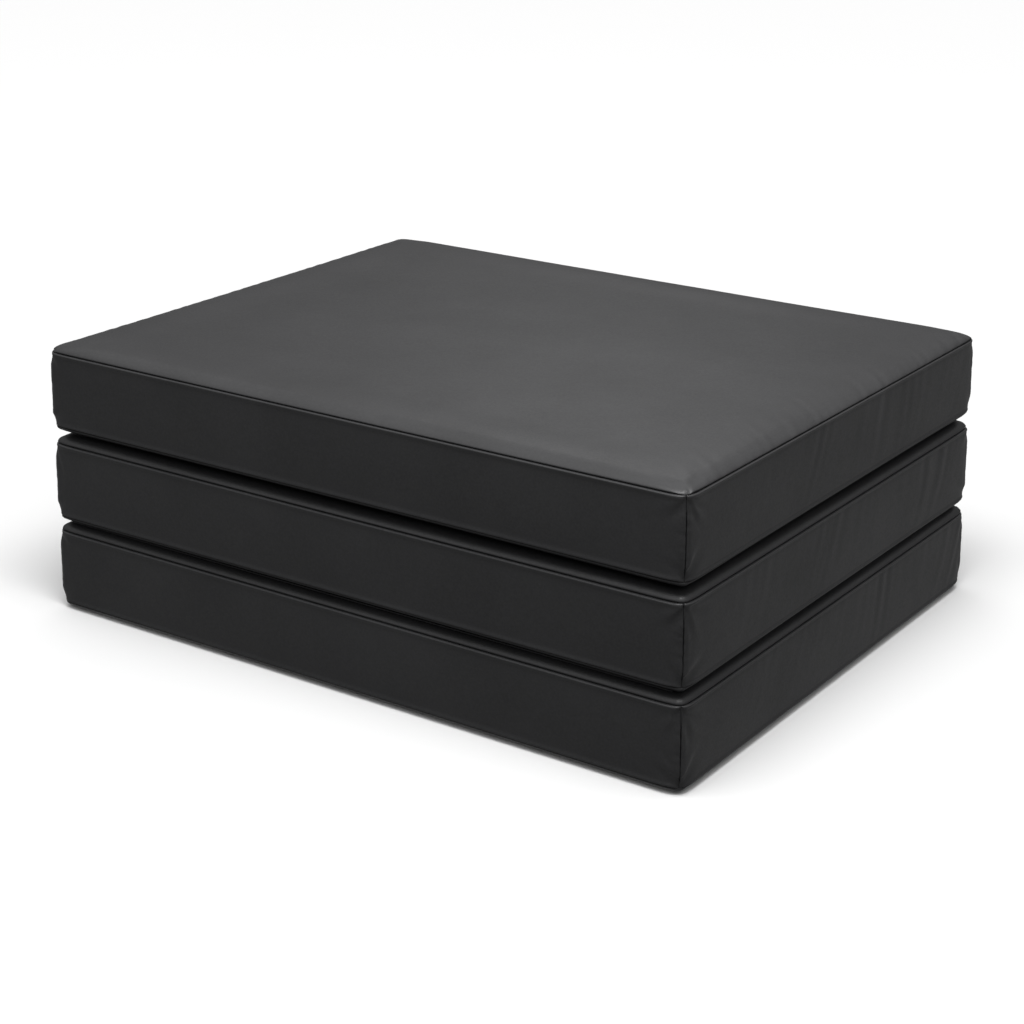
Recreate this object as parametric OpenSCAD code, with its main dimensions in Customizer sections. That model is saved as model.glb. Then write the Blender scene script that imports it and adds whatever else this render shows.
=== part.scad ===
// Tri-fold mattress, folded into a stack of three covered foam pads.
// Origin: centre of the stack's underside. +X runs along the fold lines, the front is -Y, +Z is up.
// Each pad is a foam core in a sewn cover with a zip in its left short side. A hinge strip joins
// the lower and middle pads along the front, and the middle and upper pads along the back.

/* [Pads] */
// Length of each pad, along the fold lines
pad_length = 800; // [500:10:1600]
// Width of each pad, across the fold lines
pad_width = 633; // [400:1:900]
// Thickness of each pad with its cover on
pad_thickness = 98; // [70:1:180]
// Plan radius of the pad corners
corner_radius = 12; // [6:1:40]

/* [Folded stack] */
// Gap between the lower and middle pads, which the front hinge strip lies in
front_fold_gap = 2.5; // [2.4:0.1:12]
// Gap between the middle and upper pads, which the back hinge strip lies in
back_fold_gap = 5; // [2.4:0.1:12]

/* [Cover] */
// Thickness of the coated cover cloth
cover_cloth = 1; // [0.6:0.1:1.5]
// How far the top panel turns down over the edge, to its seam
top_rim = 8; // [4:0.5:20]
// How far the bottom panel turns up around the edge, to its seam
bottom_rim = 7; // [4:0.5:20]

/* [Hinge strips] */
// Thickness of the hinge cloth
strip_cloth = 0.8; // [0.4:0.1:0.9]
// Clearance between a folded strip and the pad faces beside it
strip_clearance = 0.3; // [0.2:0.05:0.3]
// Distance from the edge of the pads in to the strip's fold
strip_inset = 12; // [8:1:30]
// Width of the flange that is sewn to each pad
strip_flange = 18; // [10:1:40]
// Distance from each end of the pads to the strip's end
strip_end_margin = 20; // [14:1:80]

/* [Zips] */
// Distance from each corner of the pad to the end of the zip
zip_end_margin = 46; // [30:1:90]
// Height of the slot that the zip shows in
zip_slot = 9; // [8.6:0.1:12]
// Width of each tape, behind the cover
tape_width = 12.5; // [10:0.5:16]
// Thickness of each tape
tape_cloth = 0.6; // [0.4:0.1:0.9]
// Width of the closed pair of coils
coil_width = 6; // [5:0.1:7]
// Height of the coils above their tapes
coil_height = 2.2; // [1.8:0.1:2.6]
// Length of each end stop along the zip
stop_length = 3; // [2:0.5:6]

/* [Sliders and pulls] */
// Length of the slider along the zip
slider_length = 11; // [9:0.5:14]
// Thickness of the slider's plate, crown and flanges
slider_wall = 0.9; // [0.8:0.1:1]
// Running clearance of the slider over the coils and of the pull in the crown
zip_clearance = 0.3; // [0.2:0.05:0.3]
// Radius of the pull's cross bar
pull_bar_radius = 0.7; // [0.6:0.05:0.9]
// Length of the pull from its cross bar to its end
pull_length = 28; // [20:1:45]
// Width of the pull's blade
pull_width = 7; // [6:0.5:9]

/* [Hidden] */
PADS = ["lower", "middle", "upper"];
PARTS = ["foam_core", "top_panel", "bottom_panel", "front_boxing", "right_boxing", "back_boxing",
         "left_boxing_above_zip", "left_boxing_below_zip", "zip_tape_above", "zip_tape_below",
         "zip_coil_above", "zip_coil_below", "zip_stops", "zip_slider", "zip_pull"];

COVER_COLOUR = [0.15, 0.15, 0.16];
HINGE_COLOUR = [0.11, 0.11, 0.12];
FOAM_COLOUR = [0.93, 0.88, 0.70];
TAPE_COLOUR = [0.10, 0.10, 0.11];
COIL_COLOUR = [0.20, 0.20, 0.21];
SLIDER_COLOUR = [0.28, 0.28, 0.30];

// Height of each pad's underside in the folded stack
pad_base = [0, pad_thickness + front_fold_gap, 2 * pad_thickness + front_fold_gap + back_fold_gap];
boxing_height = pad_thickness - top_rim - bottom_rim;
zip_length = pad_width - 2 * zip_end_margin;

// Distances outwards from the left face, which is the outer side of the cover cloth
tape_out = -cover_cloth;
coil_out = coil_height - cover_cloth;
plate_out = coil_out + zip_clearance;
crown_foot_out = plate_out + slider_wall;
bar_out = crown_foot_out + zip_clearance + pull_bar_radius;
crown_roof_out = bar_out + pull_bar_radius + zip_clearance;
crown_out = crown_roof_out + slider_wall;

// The slider's parts, across and along the zip
slider_width = zip_slot - 2 * zip_clearance;
crown_width = 2;
crown_window = 2 * (pull_bar_radius + 2 * zip_clearance) + 1;
crown_length = crown_window + 2 * slider_wall;
pull_arm = 1.2;
pull_arm_gap = crown_width / 2 + zip_clearance;
pull_bar_length = 2 * (pull_arm_gap + pull_arm);
pull_blade_start = norm([crown_length / 2, crown_out - bar_out]) + zip_clearance;

// The slider rests at the front end of its zip
slider_rest_y = -zip_length / 2 + slider_length / 2 + zip_clearance;

// Plan outline of a pad, inset from its outer face, with a further inset on the left side
module pad_outline(inset, left_inset = 0) {
    r = corner_radius - inset;
    x0 = -pad_length / 2 + inset + left_inset;
    x1 = pad_length / 2 - inset;
    y1 = pad_width / 2 - inset;
    for (x = [x0 + r, x1 - r])
        for (y = [-y1 + r, y1 - r])
            translate([x, y]) circle(r = r, $fn = 48);
    translate([x0 + r, -y1]) square([x1 - x0 - 2 * r, 2 * y1]);
    translate([x0, -y1 + r]) square([x1 - x0, 2 * (y1 - r)]);
}

// Part of the pad's plan that faces one side, split along the corners' diagonals.
// The side is its quarter turn from the front: 0 front, 1 right, 2 back, 3 left.
module side_sector(quarter) {
    reach = pad_length + pad_width;
    half_x = pad_length / 2 - corner_radius;
    half_y = pad_width / 2 - corner_radius;
    along = quarter % 2 == 0 ? half_x : half_y;
    depth = quarter % 2 == 0 ? half_y : half_x;
    rotate(90 * quarter)
        polygon([[-along, -depth], [along, -depth], [along + reach, -depth - reach],
                 [-along - reach, -depth - reach]]);
}

// One side wall of the cover, between the two seams
module boxing(quarter) {
    translate([0, 0, bottom_rim])
        linear_extrude(boxing_height)
            intersection() {
                difference() {
                    pad_outline(0);
                    pad_outline(cover_cloth);
                }
                side_sector(quarter);
            }
}

// A block on the left face: outwards from a to b, along Y from y0 to y1, up from z0 to z1,
// measured from the middle of the face
module left_face_block(a, b, y0, y1, z0, z1) {
    translate([-pad_length / 2 - b, y0, pad_thickness / 2 + z0])
        cube([b - a, y1 - y0, z1 - z0]);
}

module foam_core() {
    color(FOAM_COLOUR)
        translate([0, 0, cover_cloth])
            linear_extrude(pad_thickness - 2 * cover_cloth)
                pad_outline(cover_cloth, tape_cloth);
}

// Panel with its rim turned down
module top_panel() {
    color(COVER_COLOUR)
        difference() {
            translate([0, 0, pad_thickness - top_rim])
                linear_extrude(top_rim) pad_outline(0);
            translate([0, 0, pad_thickness - top_rim - cover_cloth])
                linear_extrude(top_rim) pad_outline(cover_cloth);
        }
}

// Panel with its rim turned up
module bottom_panel() {
    color(COVER_COLOUR)
        difference() {
            linear_extrude(bottom_rim) pad_outline(0);
            translate([0, 0, cover_cloth])
                linear_extrude(bottom_rim) pad_outline(cover_cloth);
        }
}

module plain_boxing(quarter) {
    color(COVER_COLOUR) boxing(quarter);
}

// The left wall is two strips that meet beyond the ends of the zip's slot
module left_boxing(above) {
    low = above ? 0 : -pad_thickness / 2;
    color(COVER_COLOUR)
        difference() {
            intersection() {
                boxing(3);
                left_face_block(-2 * corner_radius, 1, -pad_width / 2, pad_width / 2,
                                low, low + pad_thickness / 2);
            }
            left_face_block(-2 * cover_cloth, 1, -zip_length / 2 - stop_length,
                            zip_length / 2 + stop_length, -zip_slot / 2, zip_slot / 2);
        }
}

// Tapes lie behind the cover, with a narrow gap between them under the coils
module zip_tape(above) {
    half_gap = 0.5;
    end = zip_length / 2 + 2 * stop_length;
    color(TAPE_COLOUR)
        if (above)
            left_face_block(tape_out - tape_cloth, tape_out, -end, end, half_gap, tape_width);
        else
            left_face_block(tape_out - tape_cloth, tape_out, -end, end, -tape_width, -half_gap);
}

// Outer shape of one row of coil teeth, round on its outer edge
module coil_section() {
    meeting_gap = 0.1;
    r = coil_height / 2;
    translate([-r, coil_width / 2 - r]) circle(r = r, $fn = 24);
    translate([-2 * r, meeting_gap]) square([2 * r, coil_width / 2 - r - meeting_gap]);
}

module zip_coil(above) {
    color(COIL_COLOUR)
        translate([-pad_length / 2 - tape_out, zip_length / 2, pad_thickness / 2])
            rotate([90, 0, 0])
                linear_extrude(zip_length)
                    mirror([0, above ? 0 : 1]) coil_section();
}

module zip_stops() {
    color(COIL_COLOUR)
        for (y = [-zip_length / 2 - stop_length, zip_length / 2])
            left_face_block(tape_out, coil_out, y, y + stop_length,
                            -coil_width / 2, coil_width / 2);
}

// Outer plate with a flange down each side of the coils, and the crown that holds the pull
module zip_slider() {
    half_w = slider_width / 2;
    nose = half_w * 0.55;
    color(SLIDER_COLOUR)
        translate([0, slider_rest_y, 0]) {
            translate([-pad_length / 2 - plate_out, 0, pad_thickness / 2])
                rotate([0, -90, 0])
                    linear_extrude(slider_wall)
                        polygon([[-half_w, slider_length / 2], [half_w, slider_length / 2],
                                 [half_w, -slider_length / 4], [nose, -slider_length / 2],
                                 [-nose, -slider_length / 2], [-half_w, -slider_length / 4]]);
            for (side = [0, 1])
                mirror([0, 0, side])
                    translate([0, 0, side * -pad_thickness])
                        left_face_block(tape_out + zip_clearance, plate_out, -slider_length / 4,
                                        slider_length / 2, coil_width / 2 + zip_clearance, half_w);
            difference() {
                left_face_block(crown_foot_out, crown_out, -crown_length / 2, crown_length / 2,
                                -crown_width / 2, crown_width / 2);
                left_face_block(crown_foot_out - 1, crown_roof_out, -crown_window / 2,
                                crown_window / 2, -crown_width, crown_width);
            }
        }
}

// Cross bar under the crown, two arms around it and a blade with a round end
module zip_pull() {
    blade_end = pull_length - pull_width / 2;
    color(SLIDER_COLOUR)
        translate([-pad_length / 2 - bar_out, slider_rest_y, pad_thickness / 2]) {
            cylinder(r = pull_bar_radius, h = pull_bar_length, center = true, $fn = 32);
            for (z = [-pull_bar_length / 2, pull_arm_gap]) {
                translate([-pull_bar_radius, 0, z])
                    cube([2 * pull_bar_radius, pull_blade_start + 1, pull_arm]);
            }
            translate([-pull_bar_radius, pull_blade_start, -pull_width / 2])
                cube([2 * pull_bar_radius, blade_end - pull_blade_start, pull_width]);
            translate([-pull_bar_radius, blade_end, 0])
                rotate([0, 90, 0])
                    cylinder(d = pull_width, h = 2 * pull_bar_radius, $fn = 48);
        }
}

// Cloth folded in two, with its fold towards the pads' outer edge
module hinge_strip(gap) {
    outer = gap / 2 - strip_clearance;
    inner = outer - strip_cloth;
    length = pad_length - 2 * strip_end_margin;
    color(HINGE_COLOUR)
        translate([-length / 2, 0, 0])
            rotate([90, 0, 90])
                linear_extrude(length)
                    difference() {
                        union() {
                            translate([strip_inset + outer, 0]) circle(r = outer, $fn = 32);
                            translate([strip_inset + outer, -outer])
                                square([strip_flange, 2 * outer]);
                        }
                        translate([strip_inset + outer, 0]) circle(r = inner, $fn = 32);
                        translate([strip_inset + outer, -inner])
                            square([strip_flange + 1, 2 * inner]);
                    }
}

module front_hinge_strip() {
    translate([0, -pad_width / 2, pad_thickness + front_fold_gap / 2])
        hinge_strip(front_fold_gap);
}

module back_hinge_strip() {
    translate([0, pad_width / 2, pad_base[2] - back_fold_gap / 2])
        rotate(180) hinge_strip(back_fold_gap);
}

module pad_part(part) {
    if (part == "foam_core") foam_core();
    if (part == "top_panel") top_panel();
    if (part == "bottom_panel") bottom_panel();
    if (part == "front_boxing") plain_boxing(0);
    if (part == "right_boxing") plain_boxing(1);
    if (part == "back_boxing") plain_boxing(2);
    if (part == "left_boxing_above_zip") left_boxing(true);
    if (part == "left_boxing_below_zip") left_boxing(false);
    if (part == "zip_tape_above") zip_tape(true);
    if (part == "zip_tape_below") zip_tape(false);
    if (part == "zip_coil_above") zip_coil(true);
    if (part == "zip_coil_below") zip_coil(false);
    if (part == "zip_stops") zip_stops();
    if (part == "zip_slider") zip_slider();
    if (part == "zip_pull") zip_pull();
}

for (i = [0 : len(PADS) - 1])
    for (part = PARTS)
        translate([0, 0, pad_base[i]]) pad_part(part);
front_hinge_strip();
back_hinge_strip();
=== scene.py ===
# %% [markdown]
# # A tri-fold futon mattress, folded into a stack
#
# Three foam pads lie on one another. Each pad is a slab of foam in a sewn cover of smooth coated
# cloth, and strips of cloth join the pads along opposite long edges, so that the stack opens like
# a letter Z. This notebook builds the looks around a frame that is already fixed: the sizes, the
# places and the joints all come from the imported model, and nothing here moves them.

# %% Load the frame
import math

import bmesh
import bpy
import numpy as np
from mathutils import Matrix, Vector


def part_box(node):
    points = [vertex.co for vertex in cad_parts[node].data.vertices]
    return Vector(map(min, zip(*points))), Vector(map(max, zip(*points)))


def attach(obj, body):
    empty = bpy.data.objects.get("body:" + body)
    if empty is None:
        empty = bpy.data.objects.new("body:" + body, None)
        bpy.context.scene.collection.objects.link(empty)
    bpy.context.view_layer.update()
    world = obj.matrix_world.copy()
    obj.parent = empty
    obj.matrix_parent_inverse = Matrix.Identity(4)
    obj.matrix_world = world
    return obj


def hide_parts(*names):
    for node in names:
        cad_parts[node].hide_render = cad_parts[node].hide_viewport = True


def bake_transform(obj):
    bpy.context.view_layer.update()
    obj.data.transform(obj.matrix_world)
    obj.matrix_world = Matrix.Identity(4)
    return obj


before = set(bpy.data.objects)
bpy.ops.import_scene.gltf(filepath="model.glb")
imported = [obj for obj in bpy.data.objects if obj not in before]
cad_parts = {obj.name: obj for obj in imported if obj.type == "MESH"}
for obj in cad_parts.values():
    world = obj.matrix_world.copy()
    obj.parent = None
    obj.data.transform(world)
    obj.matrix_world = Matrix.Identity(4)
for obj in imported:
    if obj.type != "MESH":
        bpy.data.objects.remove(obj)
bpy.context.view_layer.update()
PADS = ("lower", "middle", "upper")

# %% [markdown]
# ## Sizes
#
# A maker writes the few sizes that drive the work on the bench before cutting anything. Here they
# are read off the frame: how long, wide and thick a pad is, and how high its two seams run. All
# that is local to a pad is modelled once, with the pad's underside at height zero.

# %% Sizes of one pad
MM = 0.001
top_low, top_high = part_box("lower_top_panel")
pad_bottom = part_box("lower_bottom_panel")[0].z
PAD_L = top_high.x - top_low.x
PAD_W = top_high.y - top_low.y
PAD_T = top_high.z - pad_bottom
SEAM_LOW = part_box("lower_front_boxing")[0].z
SEAM_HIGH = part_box("lower_front_boxing")[1].z
SLOT_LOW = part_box("lower_zip_coil_below")[0].z - 1.5 * MM
SLOT_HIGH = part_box("lower_zip_coil_above")[1].z + 1.5 * MM
ZIP_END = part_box("lower_zip_stops")[1].y
PAD_BASE = {pad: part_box(f"{pad}_bottom_panel")[0].z for pad in PADS}
SEAM_INSET = 2.6 * MM      # the seams are drawn in a little from the walls' widest line
CORNER_R = 8 * MM
TOP_ROLL = 13 * MM         # how far in from its seam a top panel has turned over
BOTTOM_ROLL = 11 * MM
CROWN_REACH = 60 * MM      # how far in the free top panel still rises
CLOTH = 0.9 * MM
print("pad", round(PAD_L, 3), "x", round(PAD_W, 3), "x", round(PAD_T, 3), "m, seams at",
      round(SEAM_LOW, 4), "and", round(SEAM_HIGH, 4))

# %% [markdown]
# ## Camera
#
# The camera stands to the right of the front and looks down by about twenty degrees, through a
# long lens, so that the stack keeps its edges nearly parallel. Its direction is given as a turn
# round the object, a tilt and a very small roll. A small shift slides the frame down the sheet, as
# a view camera's front does, without turning the lens.

# %% Camera
CAMERA_PLACE = Vector((1.325, -1.9332, 0.9712))
CAMERA_TURN, CAMERA_TILT, CAMERA_ROLL = 34.229, 73.878, -0.294
CAMERA_LENS = 78.85
CAMERA_SHIFT = (-0.0165, -0.1639)


def add_camera():
    bpy.ops.object.select_all(action="DESELECT")
    bpy.ops.object.camera_add(location=CAMERA_PLACE)
    camera = bpy.context.object
    camera.data.lens = CAMERA_LENS
    camera.data.sensor_width = 36
    camera.rotation_mode = "XYZ"
    camera.rotation_euler = [math.radians(v) for v in (CAMERA_TILT, CAMERA_ROLL, CAMERA_TURN)]
    camera.data.shift_x, camera.data.shift_y = CAMERA_SHIFT
    camera.data.clip_end = 200
    bpy.context.scene.camera = camera
    return camera


camera = add_camera()
print("camera at", tuple(round(v, 3) for v in camera.location))

# %% [markdown]
# ## Small helpers
#
# Blender's operators act on whatever is selected, so each step starts by deselecting everything
# and then selecting what it works on, in code, by place or by normal.


# %% Selecting and applying
def only(piece):
    """Makes one object the selected and active one."""
    if bpy.context.object and bpy.context.object.mode != "OBJECT":
        bpy.ops.object.mode_set(mode="OBJECT")
    bpy.ops.object.select_all(action="DESELECT")
    piece.select_set(True)
    bpy.context.view_layer.objects.active = piece
    return piece


def choose(piece, wanted, kind="FACE"):
    """Enters edit mode with only the faces, edges or vertices selected that wanted() accepts."""
    only(piece)
    bpy.ops.object.mode_set(mode="EDIT")
    bpy.ops.mesh.select_mode(type=kind)
    bpy.ops.mesh.select_all(action="DESELECT")
    mesh = bmesh.from_edit_mesh(piece.data)
    items = {"FACE": mesh.faces, "EDGE": mesh.edges, "VERT": mesh.verts}[kind]
    for item in items:
        item.select_set(bool(wanted(item)))
    mesh.select_flush_mode()
    bmesh.update_edit_mesh(piece.data)


def edit_all(piece):
    """Enters edit mode with everything selected."""
    only(piece)
    bpy.ops.object.mode_set(mode="EDIT")
    bpy.ops.mesh.select_all(action="SELECT")


def leave_edit():
    bpy.ops.object.mode_set(mode="OBJECT")


def smooth(piece):
    only(piece)
    bpy.ops.object.shade_smooth()


def apply_modifier(piece, kind, **settings):
    """Adds a modifier with its settings and applies it at once."""
    only(piece)
    modifier = piece.modifiers.new(kind.title(), kind)
    for name, value in settings.items():
        setattr(modifier, name, value)
    bpy.ops.object.modifier_apply(modifier=modifier.name)


def repeat(piece, count, step):
    """Repeats a piece in a straight row."""
    apply_modifier(piece, "ARRAY", count=count, use_relative_offset=False, use_constant_offset=True,
                   constant_offset_displace=step)


def block(name, low, high):
    """A cube primitive stretched between two corners, with its place in its mesh."""
    bpy.ops.object.select_all(action="DESELECT")
    low, high = Vector(low), Vector(high)
    bpy.ops.mesh.primitive_cube_add(size=1, location=(low + high) / 2, scale=high - low)
    piece = bpy.context.object
    piece.name = piece.data.name = name
    bpy.ops.object.transform_apply(location=True, rotation=True, scale=True)
    return piece


def twin(piece, name):
    """A copy of a piece with a mesh of its own."""
    copy = piece.copy()
    copy.data = piece.data.copy()
    copy.name = copy.data.name = name
    bpy.context.scene.collection.objects.link(copy)
    return copy


def points_of(piece):
    values = np.empty(len(piece.data.vertices) * 3)
    piece.data.vertices.foreach_get("co", values)
    return values.reshape(-1, 3)


def set_points(piece, values):
    piece.data.vertices.foreach_set("co", np.ascontiguousarray(values, dtype=np.float32).ravel())
    piece.data.update()


# %% [markdown]
# ## Materials
#
# A colour on a screen is given as an sRGB hex value, while the shader works on linear light,
# so one function turns the one into the other. A second one adds a node, sets its values and
# links its inputs, which keeps each recipe short enough to read.


# %% Colour and node helpers
def linear(hex_colour):
    """The linear colour of an sRGB hex value such as '2a2a2c'."""
    parts = [int(hex_colour[i : i + 2], 16) / 255 for i in (0, 2, 4)]
    return tuple(c / 12.92 if c <= 0.04045 else ((c + 0.055) / 1.055) ** 2.4 for c in parts) + (1,)


def node(tree, kind, inputs=None, **settings):
    """Adds a shader node. An input's value is a number, a colour, or another node's output."""
    made = tree.nodes.new(kind)
    for name, value in settings.items():
        setattr(made, name, value)
    for name, value in (inputs or {}).items():
        if isinstance(value, bpy.types.NodeSocket):
            tree.links.new(value, made.inputs[name])
        else:
            made.inputs[name].default_value = value
    return made


def new_material(name):
    """An empty material with its Principled shader, and the tree that it is built in."""
    material = bpy.data.materials.new(name)
    material.use_nodes = True
    tree = material.node_tree
    shader = tree.nodes["Principled BSDF"]
    return material, tree, shader


def ramp(tree, factor, low, high, low_at=0.0, high_at=1.0):
    """A colour ramp between two colours."""
    made = node(tree, "ShaderNodeValToRGB", {"Fac": factor})
    made.color_ramp.elements[0].position, made.color_ramp.elements[1].position = low_at, high_at
    made.color_ramp.elements[0].color, made.color_ramp.elements[1].color = low, high
    return made.outputs["Color"]


# %% [markdown]
# The cover is a knitted cloth with a smooth matt coat of black polyurethane, like the cloth on
# gym mats. It has no weave to see. What the eye gets is a wide, soft shine where it is looked at
# along the surface, a cloudy unevenness a hand or two across, where the coat has been rubbed in
# use, and a very fine grain. The coat's own colour is almost black, and the shine does the rest.


# %% Coated cover cloth
def make_cover_cloth():
    material, tree, shader = new_material("matt_coated_cover_cloth")
    place = node(tree, "ShaderNodeTexCoord").outputs["Object"]
    # A noise's scale is in features per metre: clouds 110 mm across, soft dents 18 mm, specks
    # 2.4 mm, and a grain of 1.1 mm, which is coarser than the coat's own so that it still shows.
    cloud = node(tree, "ShaderNodeTexNoise",
                 {"Vector": place, "Scale": 9.0, "Detail": 4.0, "Roughness": 0.6}).outputs["Fac"]
    grain = node(tree, "ShaderNodeTexNoise",
                 {"Vector": place, "Scale": 900.0, "Detail": 3.0, "Roughness": 0.6}).outputs["Fac"]
    speck = node(tree, "ShaderNodeTexNoise",
                 {"Vector": place, "Scale": 420.0, "Detail": 2.0}).outputs["Fac"]
    rub = node(tree, "ShaderNodeMath", {0: cloud, 1: speck}, operation="ADD").outputs[0]
    rub = node(tree, "ShaderNodeMath", {0: rub, 1: 0.5}, operation="MULTIPLY").outputs[0]
    colour = ramp(tree, rub, linear("252526"), linear("2d2d2e"), 0.35, 0.65)
    tree.links.new(colour, shader.inputs["Base Color"])
    rough = node(tree, "ShaderNodeMapRange",
                 {"Value": rub, "From Min": 0.35, "From Max": 0.65, "To Min": 0.46,
                  "To Max": 0.38}).outputs["Result"]
    tree.links.new(rough, shader.inputs["Roughness"])
    bump = node(tree, "ShaderNodeBump", {"Height": grain, "Strength": 0.25, "Distance": 0.0002})
    soft = node(tree, "ShaderNodeTexNoise",
                {"Vector": place, "Scale": 55.0, "Detail": 2.0}).outputs["Fac"]
    bump = node(tree, "ShaderNodeBump", {"Height": soft, "Strength": 0.3, "Distance": 0.0006,
                                         "Normal": bump.outputs["Normal"]})
    tree.links.new(bump.outputs["Normal"], shader.inputs["Normal"])
    shader.inputs["Specular IOR Level"].default_value = 0.28
    return material


cover_cloth = make_cover_cloth()
print("cover cloth:", cover_cloth.name)

# %% [markdown]
# ## One pad's skin
#
# The cover is made the way its pattern is cut: a wall between two seams, with a panel above that
# rolls over the edge to the upper seam and a panel below that rolls under to the lower one. The
# start is a cube for the wall. Its upright edges are bevelled round, and the top and bottom faces
# are inset again and again, each time a little further in and up, along a quarter ellipse.

# %% The wall and the two rolled edges
CORNER_ANGLES = (-45, -33, -22, -12, -4, 0, 4, 12, 22, 33, 45)
RING_INSETS = [v * MM for v in (0.12, 0.5, 1.2, 2.2, 3.4, 5.2)]
HALF_L, HALF_W = PAD_L / 2 - SEAM_INSET, PAD_W / 2 - SEAM_INSET


def roll_height(inset, height, roll, crown=0.0):
    """Height of a panel above its seam, at a distance in from the seam. It turns over along a
    quarter ellipse, and the crown's share of the height comes more slowly, further in."""
    tight = 1 - np.clip(inset, 0, roll) / roll
    gentle = 1 - np.clip(inset, 0, CROWN_REACH) / CROWN_REACH
    return height * ((1 - crown) * np.sqrt(1 - tight * tight) + crown * (1 - gentle ** 2.3))


def add_wall():
    wall = block("pad_skin", (-HALF_L, -HALF_W, SEAM_LOW), (HALF_L, HALF_W, SEAM_HIGH))
    choose(wall, lambda e: abs(e.verts[0].co.z - e.verts[1].co.z) > 10 * MM, "EDGE")
    bpy.ops.mesh.bevel(offset=CORNER_R, segments=len(CORNER_ANGLES) - 1, profile=0.5)
    leave_edit()
    # The columns beside each upright seam are slid closer to it, so that the seam can be narrow.
    co = points_of(wall)
    centre = np.array([HALF_L - CORNER_R, HALF_W - CORNER_R])
    side = np.where(co[:, :2] < 0, -1.0, 1.0)
    out = np.abs(co[:, :2]) - centre
    angle = np.degrees(np.arctan2(out[:, 1], out[:, 0]))
    even = np.linspace(0, 90, len(CORNER_ANGLES))
    slid = np.radians(np.interp(angle, even, np.array(CORNER_ANGLES) + 45))
    co[:, 0] = side[:, 0] * (centre[0] + CORNER_R * np.cos(slid))
    co[:, 1] = side[:, 1] * (centre[1] + CORNER_R * np.sin(slid))
    set_points(wall, co)
    return wall


def roll_edge(wall, up, height, roll):
    """Insets the top or bottom face in steps along the quarter ellipse of a rolled edge."""
    choose(wall, lambda f: f.normal.z * up > 0.9)
    before = (0, 0)
    for inset in RING_INSETS:
        rise = float(roll_height(inset, height, roll))
        bpy.ops.mesh.inset(thickness=inset - before[0], depth=rise - before[1])
        before = (inset, rise)
    leave_edit()


skin = add_wall()
roll_edge(skin, 1, PAD_T - SEAM_HIGH, TOP_ROLL)
roll_edge(skin, -1, SEAM_LOW, BOTTOM_ROLL)
print("skin:", len(skin.data.polygons), "faces before it is cut into a grid")

# %% [markdown]
# Cloth can only bend where it has edges, so the skin is cut into a grid. Blender's bisect lays a
# straight row of edges where a plane crosses the mesh, which does the work of a loop cut. The rows
# of the wall crowd together at its two seams and at the edges of the zip's slot.

# %% Cut the skin into a grid
GRID = 9 * MM


def spaced(reach, must=()):
    """Evenly spaced cuts from -reach to reach, moved to pass through each place in must."""
    steps = round(2 * reach / GRID)
    cuts = [-reach + 2 * reach * i / steps for i in range(steps + 1)]
    for place in must:
        nearest = min(range(len(cuts)), key=lambda i: abs(cuts[i] - place))
        cuts[nearest] = place
    return cuts


def cut(piece, axis, places):
    edit_all(piece)
    normal = [float(i == axis) for i in range(3)]
    for place in places:
        bpy.ops.mesh.select_all(action="SELECT")
        bpy.ops.mesh.bisect(plane_co=[place * n for n in normal], plane_no=normal)
    leave_edit()


SLOT_MIDDLE = (SLOT_LOW + SLOT_HIGH) / 2
from_seam = [v * MM for v in (0.8, 2.0, 4.2, 7.5, 11.5, 16, 20.5, 25, 29.5, 33.5)]
wall_rows = ([SEAM_LOW + v for v in from_seam] + [SEAM_HIGH - v for v in from_seam]
             + [SLOT_LOW, SLOT_MIDDLE, SLOT_HIGH])
near_corner = [v * MM for v in (2, 4.2, 7)]
cut(skin, 2, wall_rows)
for axis, reach, must in ((0, HALF_L - CORNER_R, ()), (1, HALF_W - CORNER_R, (-ZIP_END, ZIP_END))):
    cut(skin, axis, spaced(reach, must) + [s * (reach - v) for s in (-1, 1) for v in near_corner])
edit_all(skin)
bpy.ops.mesh.remove_doubles(threshold=0.05 * MM)
bpy.ops.mesh.normals_make_consistent(inside=False)
leave_edit()
print("skin:", len(skin.data.polygons), "faces in the grid")

# %% [markdown]
# The panels that the cover is sewn from are told apart by a material number on their faces. An
# edge between two numbers is a seam. The numbers survive subdivision, so the same skin can be
# simulated in one piece and taken apart along its seams afterwards.

# %% Number the panels
PANELS = ("top", "bottom", "front", "right", "back", "left_above_zip", "left_below_zip", "slot")


def panel_of(centre):
    x, y, z = centre
    if z > SEAM_HIGH:
        return PANELS.index("top")
    if z < SEAM_LOW:
        return PANELS.index("bottom")
    past_x = abs(x) - (HALF_L - CORNER_R)
    past_y = abs(y) - (HALF_W - CORNER_R)
    if past_y > past_x:
        return PANELS.index("back" if y > 0 else "front")
    if x > 0:
        return PANELS.index("right")
    if SLOT_LOW < z < SLOT_HIGH and abs(y) < ZIP_END:
        return PANELS.index("slot")
    return PANELS.index("left_above_zip" if z > SLOT_MIDDLE else "left_below_zip")


def seam_points(piece):
    """Whether each point lies on a seam, which is an edge between two panels."""
    mesh = bmesh.new()
    mesh.from_mesh(piece.data)
    mesh.verts.ensure_lookup_table()
    found = np.array([len({f.material_index for f in v.link_faces}) > 1 for v in mesh.verts])
    mesh.free()
    return found


def edge_distance(co):
    """How far in from the outline of the seams each point lies."""
    dx, dy = HALF_L - np.abs(co[:, 0]), HALF_W - np.abs(co[:, 1])
    corner = np.hypot(np.maximum(CORNER_R - dx, 0), np.maximum(CORNER_R - dy, 0))
    near = np.where((dx < CORNER_R) & (dy < CORNER_R), CORNER_R - corner, np.minimum(dx, dy))
    soft = 9 * MM
    far = -soft * np.log(np.exp(-dx / soft) + np.exp(-dy / soft))
    return np.where(near < CORNER_R, near, np.maximum(far, near * 0.93))


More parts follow.
